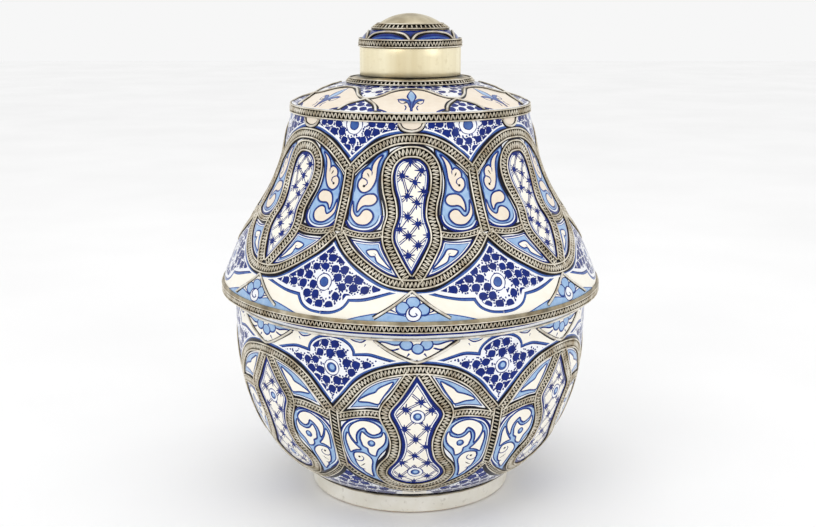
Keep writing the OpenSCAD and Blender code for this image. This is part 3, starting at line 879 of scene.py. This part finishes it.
class Nodes:
    """A material and short ways of adding nodes to it."""

    def __init__(self, name):
        self.material = bpy.data.materials.new(name)
        self.material.use_nodes = True
        self.tree = self.material.node_tree
        self.shader = self.tree.nodes["Principled BSDF"]
        self.place = self.tree.nodes.new("ShaderNodeTexCoord").outputs["Object"]

    def give(self, socket, value):
        """Links a socket, or sets it. A colour is given in sRGB, 0 to 255."""
        if isinstance(value, bpy.types.NodeSocket):
            self.tree.links.new(value, socket)
        else:
            socket.default_value = linear(value) if socket.type == "RGBA" else value

    def node(self, kind, inputs, **settings):
        node = self.tree.nodes.new("ShaderNode" + kind)
        for name, value in settings.items():
            setattr(node, name, value)
        for name, value in inputs.items():
            self.give(node.inputs[name], value)
        return node

    def noise(self, size_mm, detail=3, rough=0.55, stretch=(1, 1, 1)):
        """Noise with features of a size in mm."""
        scaled = self.node("Mapping", {"Vector": self.place, "Scale": stretch}).outputs[0]
        inputs = {"Vector": scaled, "Scale": 1000 / size_mm, "Detail": detail, "Roughness": rough}
        return self.node("TexNoise", inputs).outputs["Fac"]

    def ramp(self, value, low, high, to_low=0.0, to_high=1.0):
        inputs = {"Value": value, "From Min": low, "From Max": high, "To Min": to_low, "To Max": to_high}
        return self.node("MapRange", inputs).outputs[0]

    def mix(self, share, a, b, blend="MIX"):
        return self.node("Mix", {0: share, 6: a, 7: b}, data_type="RGBA", blend_type=blend).outputs[2]

    def math(self, operation, a, b):
        return self.node("Math", {0: a, 1: b}, operation=operation).outputs[0]

    def attribute(self, name):
        return self.node("Attribute", {}, attribute_name=name).outputs["Fac"]

    def bump(self, height, depth_mm, strength=1.0):
        return self.node("Bump", {"Height": height, "Distance": depth_mm * MM, "Strength": strength}).outputs[0]

    def finish(self, **sockets):
        """Links or sets the shader's own sockets, and returns the material."""
        for name, value in sockets.items():
            self.give(self.shader.inputs[name.replace("_", " ")], value)
        return self.material


def glaze(name, thin, thick, pooling=0.5, gloss=0.42):
    """A gloss tin glaze or a colour brushed on it, thin and pale in places and pooled in others."""
    n = Nodes(name)
    wash = n.ramp(n.noise(5, 4, 0.6), 0.5 - pooling / 2, 0.5 + pooling / 2)
    colour = n.mix(wash, thick, thin)
    speckle = n.ramp(n.noise(1.1, 2), 0.70, 0.78, 0, 0.10)
    colour = n.mix(speckle, colour, (120, 105, 90))
    stain = n.ramp(n.noise(38, 4, 0.6), 0.46, 0.80, 0, 0.12)
    colour = n.mix(stain, colour, (214, 190, 150), "MULTIPLY")
    dimples = n.math("ADD", n.noise(9), n.math("MULTIPLY", n.noise(2.2, 2), 0.12))
    return n.finish(Base_Color=colour, Roughness=n.ramp(n.noise(14), 0.3, 0.7, 0.12, 0.24),
                    Normal=n.bump(dimples, 0.30, 0.8), Specular_IOR_Level=gloss)


def bare_clay():
    n = Nodes("bare_clay")
    grain = n.noise(1.3, 4)
    colour = n.mix(n.ramp(n.noise(16, 4), 0.3, 0.7), (196, 158, 112), (226, 202, 166))
    colour = n.mix(n.ramp(grain, 0.55, 0.75, 0, 0.5), colour, (140, 104, 72))
    return n.finish(Base_Color=colour, Roughness=0.85, Normal=n.bump(grain, 0.25))


GLAZES = [
    glaze("glaze_white", (248, 249, 251), (238, 241, 246)),
    glaze("glaze_cream", (253, 250, 240), (250, 244, 229)),
    glaze("glaze_peach", (244, 233, 216), (237, 222, 202)),
    glaze("glaze_pale_blue", (178, 206, 234), (122, 164, 214), 0.7),
    glaze("glaze_mid_blue", (72, 112, 178), (22, 62, 142), 0.6, 0.3),
    glaze("glaze_cobalt", (8, 45, 136), (1, 15, 88), 0.6, 0.2),
    glaze("glaze_dark_blue", (5, 8, 38), (1, 2, 14), 0.6, 0.2),
]
PLAIN = COLOURS.index("white")
CLAY = len(GLAZES)


# ---------- The glazed jar ----------

WALL = 8                                 # thickness of the thrown clay
INNER_STEP = 8                           # between the rings of its inside
FLOOR_Z = 22                             # inside of the bowl's floor
FOOT_R = reach_of("foot_band") - 1.5     # clay under the foot band
FOOT_Z = 1.2                             # clay left bare under the foot band


def inner_line(zone, low, high):
    """The inside of a wall as (radius, height), from low to high."""
    v = np.linspace(zone.low, zone.high, round((zone.high - zone.low) / INNER_STEP))
    place, _ = zone.place(np.column_stack((np.zeros(len(v)), v)), -WALL)
    radius = np.hypot(place[:, 0], place[:, 1])
    return [(r, z) for r, z in zip(radius, place[:, 2]) if low < z < high]


def bowl_glazed():
    b = Builder()
    foot, rim = b.skin(painted_bowl())
    turned = b.lathe([(79.4, 13.2), (FOOT_R, FOOT_Z + 0.6)], PLAIN, first=foot)
    b.lathe([(FOOT_R - 0.4, 0.2), (FOOT_R - 1.2, 0), (70.6, 0), (69.8, 0.6), (68, 11.4), (67.2, 12), (30, 12), (0, 12)],
            CLAY, first=turned)
    lip = [(139.8, SEAT_Z - 0.3), (139.2, SEAT_Z), (133.4, SEAT_Z), (132.2, SEAT_Z - 0.6)]
    well = inner_line(bowl_zone, FLOOR_Z + 6, SEAT_Z - 4)[::-1]
    b.lathe(lip + well + [(78, FLOOR_Z + 1.8), (70, FLOOR_Z + 0.3), (35, FLOOR_Z), (0, FLOOR_Z)], PLAIN, first=rim)
    b.make("bowl_glazed", GLAZES + [bare_clay()], "bowl", "bowl_shell")


def lid_glazed():
    b = Builder()
    rim, top = b.skin(painted_lid())
    neck, edge = b.skin(painted_shoulder())
    cap, knob = b.skin(painted_knob())
    b.seam(top, edge, PLAIN)
    b.lathe([(NECK_R, NECK_FOOT_Z + 1), (NECK_R, 340), (NECK_R, 356.5), (NECK_R - 0.1, 357.8)], PLAIN, neck, knob)
    b.lathe([(18, 368.2), (0, 368.2)], PLAIN, first=cap)
    bell = inner_line(lid_zone, SEAT_Z + 14, 302)
    b.lathe([(149.7, SEAT_Z + 1), (149.2, SEAT_Z + 0.2), (148.4, SEAT_Z), (130.5, SEAT_Z), (130, SEAT_Z - 0.6),
             (130, 158), (129.4, 157.3), (128.6, 157.2), (125.4, 157.2), (124.6, 157.3), (124, 158), (124, SEAT_Z + 8)]
            + bell + [(80, 306), (70, 310.8), (50, 317), (32, 323.6), (30.3, 325), (30.3, 350), (27, 354.2),
                      (18, 359.2), (0, 360.2)], PLAIN, first=rim)
    b.make("lid_glazed", GLAZES, "lid", "lid_shell")


# ---------- Metalwork ----------

SINK = -0.25             # the metal's back, under the glaze
BACK_INSET = 0.3         # a strip's dark back, in from its edges: a dark sheet that paints the shadow seen through its holes
BACK_H = 0.18
BACK_SHADE = -0.6          # painted shade: kept dark, so that the holes show as shadow


def silver(name, dark, mid, bright, patina=0.6):
    """White metal, tarnished in its hollows and rubbed bright on what stands proud, with painted shade in the hollows
    and a painted highlight on what stands proud: the attribute rub says how far.
    """
    n = Nodes(name)
    rub = n.attribute("rub")
    patch = n.noise(16, 4, 0.6)
    lit_and_worn = n.math("ADD", rub, n.ramp(patch, 0.3, 0.7, -patina / 2, patina / 2))
    colour = n.mix(n.ramp(lit_and_worn, 0.05, 0.55), dark, mid)
    colour = n.mix(n.ramp(lit_and_worn, 0.6, 1.1), colour, bright)
    bronze = n.math("MULTIPLY", n.ramp(n.noise(9), 0.48, 0.7, 0, 0.5), n.ramp(lit_and_worn, 0.1, 0.5))
    colour = n.mix(bronze, colour, (142, 112, 66))
    scratches = n.noise(2.4, 4, 0.6, (1, 1, 3))
    return n.finish(Base_Color=colour, Metallic=0.88, Roughness=n.ramp(n.noise(4), 0.3, 0.7, 0.32, 0.5),
                    Normal=n.bump(scratches, 0.12, 0.7))


FILIGREE = silver("filigree", (10, 8, 6), (174, 163, 138), (246, 240, 226))
SHEET = silver("worn_and_shaded_sheet", (96, 88, 76), (190, 183, 168), (240, 236, 226), patina=0.8)


class Track:
    """A line on a zone, measured along its length: places, normals and sideways directions in mm."""

    def __init__(self, zone, line, lift=0.0, closed=False):
        line = np.asarray(line, float)
        self.place, self.normal = zone.place(line, lift)
        ends = (self.place[-1:], self.place[:1]) if closed else (2 * self.place[:1] - self.place[1:2],
                                                                  2 * self.place[-1:] - self.place[-2:-1])
        around = np.vstack((ends[0], self.place, ends[1]))
        self.side = unit(np.cross(self.normal, unit(around[2:] - around[:-2])))
        steps = np.linalg.norm(np.diff(self.place, axis=0), axis=1)
        self.along = np.concatenate(((0,), np.cumsum(steps)))
        self.closed = closed
        self.length = self.along[-1] + (np.linalg.norm(self.place[0] - self.place[-1]) if closed else 0)

    def at(self, where):
        """Places, normals and sideways directions at distances along the line."""
        known = np.append(self.along, self.length) if self.closed else self.along

        def read(values):
            values = np.vstack((values, values[:1])) if self.closed else values
            return np.column_stack([np.interp(where, known, values[:, k]) for k in range(3)])

        return read(self.place), unit(read(self.normal)), unit(read(self.side))


def bar_faces(n, k, closed=True):
    """The faces along a bar of n sections with k points each."""
    i, j = np.meshgrid(np.arange(n if closed else n - 1), np.arange(k), indexing="ij")
    after, beside = (i + 1) % n, (j + 1) % k
    return np.stack((i * k + j, after * k + j, after * k + beside, i * k + beside), axis=-1).reshape(-1, 4).tolist()


def sweep(b, track, section, rub):
    """A bar whose section is given as (across, up) points, with how bright each is, as wear and painted highlight."""
    section, n, k = np.asarray(section, float), len(track.place), len(section)
    co = (track.place[:, None] + track.side[:, None] * section[None, :, 0, None]
          + track.normal[:, None] * section[None, :, 1, None]).reshape(-1, 3)
    faces = bar_faces(n, k, track.closed)
    if not track.closed:
        faces += [list(range(k)), list(range((n - 1) * k, n * k))]
    b.add(co, faces, rub=np.tile(rub, n))


def wire(b, track, width, height=1.05, across=0.0):
    """A flat wire with rounded edges."""
    w = width / 2
    section = [(-w, SINK), (-w * 0.95, height * 0.65), (-w * 0.45, height), (w * 0.45, height),
               (w * 0.95, height * 0.65), (w, SINK)]
    # painted highlight along the wire's top and painted shade down its sides and underneath
    sweep(b, track, [(across + x, y) for x, y in section], [0.0, 0.55, 1, 1, 0.55, 0.0])


def beads(b, track, length, width, pitch, slant, height, phase=0.25):
    """A row of small slanting lumps, as twisted wire shows."""
    rng = b.rng
    count = max(1, int(track.length / pitch))
    where = (np.arange(count) + phase) * track.length / count + np.array([rng.uniform(-0.1, 0.1) for _ in range(count)])
    place, normal, side = track.at(where)
    ahead = np.cross(side, normal)
    angle = np.radians(slant) + np.array([rng.uniform(-0.12, 0.12) for _ in range(count)])[:, None]
    long, wide = ahead * np.cos(angle) + side * np.sin(angle), side * np.cos(angle) - ahead * np.sin(angle)
    # shine: a painted highlight on each lump's top and painted shade on its sides and underside
    shape, shine = [(-1, 0, 0)], [0.25]
    for t, r in ((-0.6, 0.85), (0, 1), (0.6, 0.85)):
        shape += [(t, -r, 0), (t, 0, r), (t, r, 0), (t, 0, -r)]
        shine += [0.5, 1.0 if t else 1.15, 0.5, 0]
    shape, shine = np.array(shape + [(1, 0, 0)]), np.array(shine + [0.25])
    size = np.array([1 + rng.uniform(-0.08, 0.08) for _ in range(count)])[:, None, None]
    up = height * 0.62
    co = (place + normal * (height - up))[:, None] + size * (
        long[:, None] * shape[None, :, :1] * length / 2 + wide[:, None] * shape[None, :, 1:2] * width / 2
        + normal[:, None] * shape[None, :, 2:] * up)
    faces = [(0, 2, 1), (0, 3, 2), (0, 4, 3), (0, 1, 4)]
    for s in (1, 5):
        for j in range(4):
            faces.append((s + j, s + (j + 1) % 4, s + 4 + (j + 1) % 4, s + 4 + j))
    faces += [(13, 9, 10), (13, 10, 11), (13, 11, 12), (13, 12, 9)]
    numbers = [tuple(f + 14 * i for f in face) for i in range(count) for face in faces]
    b.add(co.reshape(-1, 3), numbers, rub=np.tile(shine, count))


def strip(b, track, width, pitch=2.7, edge=1.3, height=1.1, even=False, lean=None):
    """An open-work strip: a dark back that paints the shadow in its holes, a flat wire along each edge, and between
    them a zigzag of lumps, heavier one way unless it's even, or one row of bars that lean all alike."""
    w = width / 2
    back = w - BACK_INSET
    # the dark back: painted shadow in the strip's holes
    sweep(b, track, [(-back, SINK), (-back, BACK_H), (back, BACK_H), (back, SINK)], [BACK_SHADE] * 4)
    for side in (1, -1):
        wire(b, track, edge, height, side * (w - edge / 2))
    row_w = width - 2 * edge
    if lean:
        beads(b, track, row_w / math.sin(math.radians(lean)) * 1.1, pitch * 0.46, pitch, lean, height)
        return
    lean = math.degrees(math.atan2(row_w, pitch / 2))
    length = math.hypot(row_w, pitch / 2) * 1.12
    light, heavy = (0.37, 0.37) if even else (0.3, 0.6)
    beads(b, track, length, pitch * light, pitch, -lean, height * 0.85, 0.75)
    beads(b, track, length, pitch * heavy, pitch, lean, height)


def turned_by(line, angle):
    return np.asarray(line, float) + (angle, 0)


class Metal(Builder):
    """A piece of metalwork, which stands for the CAD node whose name it has."""

    def __init__(self, node, body):
        super().__init__()
        self.node, self.body, self.rng = node, body, random.Random(node)

    def done(self, material=FILIGREE):
        self.make(self.node + "_metal", [material], self.body, self.node)


def strips(node, body, zone, lines, width, **style):
    b = Metal(node, body)
    for line in lines:
        strip(b, Track(zone, line), width, **style)
    b.done()


def wires(node, body, zone, lines, closed=False):
    b = Metal(node, body)
    for line in lines:
        wire(b, Track(zone, line, closed=closed), WIRE_W)
    b.done(SHEET)


def each_motif(line, start=0.0):
    return [turned_by(line, start - i * STEP) for i in range(MOTIFS)]


def medallions(body, zone, top, low, low_w, key, **low_style):
    """An upper and a lower arch and a keyhole for each motif."""
    for i in range(MOTIFS):
        top_arc, low_arc, key_line = (turned_by(curve(both(half), 1.6), -i * STEP) for half in (top, low, key))
        b = Metal(f"{body}_medallion_{i + 1}", body)
        strip(b, Track(zone, top_arc), STRIP_W)
        strip(b, Track(zone, low_arc), low_w, **low_style)
        b.done()
        strips(f"{body}_keyhole_{i + 1}", body, zone, [key_line], KEY_W)


def filigree():
    medallions("lid", lid_zone, LID_TOP_ARC, LID_LOW_ARC, STRIP_W, LID_KEY)
    medallions("bowl", bowl_zone, BOWL_TOP_ARC, BOWL_LOW_ARC, NARROW_W, BOWL_KEY, lean=88, pitch=3.1,
               edge=1, height=0.6)
    strips("lid_uprights", "lid", lid_zone, each_motif(curve(LID_UPRIGHT, 1.6), HALF), STRIP_W)
    strips("bowl_uprights", "bowl", bowl_zone, each_motif(curve(BOWL_UPRIGHT, 1.6), HALF), STRIP_W, lean=62, pitch=3)
    for body, zone, tie, tie_w, dart in (("lid", lid_zone, LID_TIE, NARROW_W, LID_DART),
                                         ("bowl", bowl_zone, BOWL_TIE, BOWL_TIE_W, BOWL_DART)):
        ties = each_motif(curve(tie, 1.6)) + each_motif(curve(mirrored(tie), 1.6))
        strips(body + "_side_strips", body, zone, ties, tie_w, edge=1.0)
        wires(body + "_rim_darts", body, zone, each_motif(both(curve(dart, 2))))
    wires("lid_tab_wires", "lid", lid_zone, each_motif(both(curve(LID_TAB, 2))))
    wires("shoulder_darts", "lid", shoulder_zone, each_motif(both(curve(SHOULDER_DART, 2)), HALF))
    edge = np.vstack(each_motif(joined([(HALF, 74.4)], both(SHOULDER_PANEL))) + [[(HALF - 360, 74.4)]])
    wires("shoulder_edge_wire", "lid", shoulder_zone, [curve(edge, 2)[:-1]], closed=True)
    arcs = [turned_by(curve(both(KNOB_ARC), 1.5), 30 + 60 * i) for i in range(6)]
    wires("knob_arc_wires", "lid", knob_zone, arcs)


# ---------- Bands of sheet metal ----------

def hoop(v):
    """A closed line round a zone."""
    return np.array([(a, v) for a in np.arange(0, 360, 1.5)])


def shell_ring(b, outline, wobble, seed):
    """A ring of sheet metal turned from a closed outline of (radius, height, rub), a little uneven by hand. The third
    value is how bright the metal is there, as wear and painted highlight or shade.
    """
    rng = random.Random(seed)
    waves = [(k, rng.uniform(0, 6), rng.uniform(0.4, 1) * wobble / k ** 0.5) for k in (3, 5, 8, 13, 21)]
    a = np.radians(np.arange(SEGMENTS) * 360 / SEGMENTS)
    shift = sum(size * np.sin(k * a + phase) for k, phase, size in waves)
    outline = np.asarray(outline, float)
    radius = outline[None, :, 0] - np.maximum(0, shift[:, None] + wobble)
    co = np.stack((radius * np.sin(a)[:, None], -radius * np.cos(a)[:, None],
                   np.broadcast_to(outline[None, :, 1], radius.shape)), axis=-1).reshape(-1, 3)
    b.add(co, bar_faces(SEGMENTS, len(outline)), rub=np.tile(outline[:, 2], SEGMENTS))


def skin_outline(zone, low, high, over, under, rub=0.7):
    """The section of a sheet that follows a zone from low to high, between two lifts."""
    points = []
    for lift, line in ((over, np.linspace(low, high, 5)), (under, np.linspace(high, low, 5))):
        place, _ = zone.place(np.column_stack((np.zeros(5), line)), lift)
        points += [(math.hypot(x, y), z, rub) for x, y, z in place]
    return points


def polished(name, dark, bright, tarnish, rough):
    """Hammered and polished metal with painted reflections, whose colour runs between dark and bright in upright
    streaks.
    """
    n = Nodes(name)
    reflection_streaks = n.noise(22, 3, 0.5, (1, 1, 0.06))
    colour = n.mix(n.ramp(reflection_streaks, 0.36, 0.64), dark, bright)
    colour = n.mix(n.ramp(n.noise(6, 4), 0.6, 0.8, 0, 0.35), colour, tarnish)
    brushed, dents = n.noise(1.6, 3, 0.6, (1, 1, 0.12)), n.math("MULTIPLY", n.noise(18, 2), 2.0)
    return n.finish(Base_Color=colour, Metallic=0.85, Roughness=n.ramp(n.noise(26), 0.3, 0.7, *rough),
                    Normal=n.bump(n.math("ADD", brushed, dents), 0.08, 0.8))


def satin():
    """Dull pale metal, scratched along the band."""
    n = Nodes("satin_band")
    colour = n.mix(n.ramp(n.noise(22, 4), 0.3, 0.7), (238, 233, 218), (252, 249, 240))
    colour = n.mix(n.ramp(n.noise(4, 4), 0.6, 0.8, 0, 0.4), colour, (150, 138, 112))
    return n.finish(Base_Color=colour, Metallic=0.3, Roughness=n.ramp(n.noise(8), 0.3, 0.7, 0.34, 0.5),
                    Normal=n.bump(n.noise(2.6, 4, 0.6, (1, 1, 2.5)), 0.1, 0.8))


def round_zone(node, low, high):
    """The outside of a ring, finely read."""
    return Zone(rings(node, "out"), False, low, high, LID_TURN, 1.5)


def closed_strip(b, zone, at, lift, width, **style):
    strip(b, Track(zone, hoop(at), lift, True), width, **style)


def lid_bands():
    """The open-work bands round the lid's rim and shoulder."""
    b = Metal("rim_band", "lid")
    zone = round_zone("rim_band", SEAT_Z, 174.4)
    shell_ring(b, skin_outline(zone, 171, 173.6, -0.35, -1.3, 0.5), 0.05, 3)
    closed_strip(b, zone, 168.4, -1.1, 6.1, pitch=3.2, edge=1, even=True)
    b.done()

    b = Metal("shoulder_band", "lid")
    closed_strip(b, round_zone("shoulder_band", 304.1, 310.9), 307.5, -0.55, 6.8, pitch=3.5, edge=1.1, even=True)
    b.done()


def neck_flange():
    b = Metal("neck_flange", "lid")
    lip = Zone(np.array(((47.2, 329.6), (48.8, 328.3), (50.2, 326.2))), True, 47.2, 50.2, LID_TURN, 1)
    # painted highlight on the lip and painted shade darkening towards the collar
    shell_ring(b, [(NECK_R, 329.4, 0), (47, 327.6, 0), (47.2, 329, 0.8), (43, 330.2, 0.5), (40, 331.2, -0.1),
                   (NECK_R, 331.5, -0.4)], 0.05, 5)
    closed_strip(b, lip, 48.7, -0.6, 4.6, pitch=3.3, edge=0.95, lean=88)
    b.done()


def knob_rings(outer_z, inner_z):
    """The ring under the knob's enamel and the one round its cap."""
    b = Metal("knob_lower_ring", "lid")
    low = foot_of("knob_lower_ring")
    zone = round_zone("knob_lower_ring", low, low + 6)
    shell_ring(b, skin_outline(zone, low + 0.1, low + 6.2, -1.05, -1.9), 0.02, 6)
    closed_strip(b, zone, low + 3.2, -1.12, 6.4, edge=1.1, even=True)
    b.done()

    b = Metal("knob_upper_ring", "lid")
    cone = Zone(np.array(((24.9, outer_z + 4.4), (30.2, outer_z + 0.5))), True, 24.9, 30.2, LID_TURN, 1)
    # painted highlight on the ring's upper faces and painted shade on its lower ones
    shell_ring(b, [(22, inner_z + 0.4, 0), (22.3, outer_z + 4.2, 0.8), (24.8, outer_z + 4.3, 0.8),
                   (30.2, outer_z + 0.3, 0.4), (30.2, outer_z - 0.2, 0), (CAP_R, inner_z - 0.2, 0)], 0.02, 7)
    closed_strip(b, cone, 27.5, 0, 6.4, pitch=3.5, edge=1, lean=88)
    b.done()


def knob_band():
    b = Metal("knob_band", "lid")
    low, high, inner, outer = foot_of("knob_band"), top_of("knob_band"), NECK_R + 0.1, reach_of("knob_band")
    shell_ring(b, [(inner, low, 0), (outer - 0.3, low, 0.4), (outer, low + 0.4, 1), (outer, low + 7, 1),
                   (outer, high - 7, 1), (outer, high - 0.4, 1), (outer - 0.3, high, 0.4), (inner, high, 0)], 0.08, 9)
    b.done(polished("polished_band", (222, 206, 164), (255, 246, 214), (196, 176, 130), (0.28, 0.42)))


def knob_cap(hem_z):
    """A low dome, part of a ball, closed below."""
    b = Metal("knob_cap", "lid")
    radius, top = 24.6, top_of("knob_cap") - 1.2
    height = top - hem_z
    ball = (radius ** 2 + height ** 2) / 2 / height
    angles = np.linspace(0, math.asin(radius / ball), 16)
    dome = [(ball * math.sin(a), top - ball + ball * math.cos(a)) for a in angles]
    hem = b.ring(radius, hem_z - 0.5)
    foot = foot_of("knob_cap")
    b.lathe([(radius * 0.9, foot), (0, foot)], first=hem)
    b.lathe(dome[::-1][:-1] + [(0, top)], first=hem)
    b.done(polished("worn_cap", (170, 158, 130), (220, 210, 182), (140, 126, 96), (0.36, 0.5)))


def bowl_bands():
    """The plain band round the foot, the ring above it and the wire under the rim."""
    b = Metal("foot_band", "bowl")
    inner, low, high = FOOT_R + 0.6, foot_of("foot_band"), top_of("foot_band")
    outer = inner + 0.9
    shell_ring(b, [(inner, low, 0), (outer - 0.1, low, 0.6), (outer + 0.05, low + 0.5, 1), (outer + 0.2, low + 6, 1),
                   (outer + 0.5, high - 0.4, 1), (outer + 0.4, high, 0.6), (inner + 0.5, high, 0)], 0.12, 10)
    b.done(satin())

    b = Metal("base_ring", "bowl")
    shell_ring(b, skin_outline(bowl_zone, 14.1, 18.9, 0.5, -0.2, 0), 0.03, 11)
    wire(b, Track(bowl_zone, hoop(15.6), 0, True), 2.6)
    b.done()

    b = Metal("bowl_rim_wire", "bowl")
    wire(b, Track(bowl_zone, hoop(158), 0, True), WIRE_W, 1.2)
    b.done(SHEET)


def bands():
    outer_z, inner_z = knob_zone.read(30.2)[0], knob_zone.read(CAP_R)[0]
    lid_bands()
    neck_flange()
    knob_rings(outer_z, inner_z)
    knob_band()
    knob_cap(outer_z + 4.4)
    bowl_bands()


# ---------- The studio ----------

def floor():
    mesh = bpy.data.meshes.new("floor")
    mesh.from_pydata([(-6, -6, 0), (6, -6, 0), (6, 6, 0), (-6, 6, 0)], [], [(0, 1, 2, 3)])
    n = Nodes("floor_paper")
    tone = n.mix(n.ramp(n.noise(300, 2), 0.3, 0.7), (250, 250, 250), (255, 255, 255))
    mesh.materials.append(n.finish(Base_Color=tone, Roughness=0.95, Specular_IOR_Level=0.1))
    piece = put("floor", mesh)


def lamp(name, at, size, watts):
    """A soft rectangular lamp that looks at the middle of the lid."""
    light = bpy.data.lights.new(name, "AREA")
    light.shape, light.size, light.size_y, light.energy = "RECTANGLE", *size, watts
    item = put(name, light)
    item.location = at
    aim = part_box("lid_shell")[0].lerp(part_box("lid_shell")[1], 0.5) - item.location
    item.rotation_euler = aim.to_track_quat("-Z", "Y").to_euler()


def studio():
    floor()
    lamp("key", (-0.9, -1.3, 1.5), (0.9, 0.9), 4.2)
    lamp("fill", (1.2, -1.0, 1.0), (0.7, 0.9), 2)
    lamp("top", (0.0, 0.2, 1.8), (1.2, 1.2), 2)
    world = bpy.data.worlds.new("studio")
    world.use_nodes = True
    background = world.node_tree.nodes["Background"].inputs
    background["Color"].default_value, background["Strength"].default_value = (1, 1, 1, 1), 0.93
    bpy.context.scene.world = world
    bpy.context.scene.view_settings.view_transform = "Standard"


def camera():
    data = bpy.data.cameras.new("camera")
    data.sensor_width, data.lens = 36, 51.83
    item = put("camera", data)
    item.location = (-0.0018, -0.9256, 0.3946)
    item.rotation_euler = (math.radians(90 - 13.04), 0, 0)
    bpy.context.scene.camera = item


bowl_glazed()
lid_glazed()
filigree()
bands()
studio()
camera()
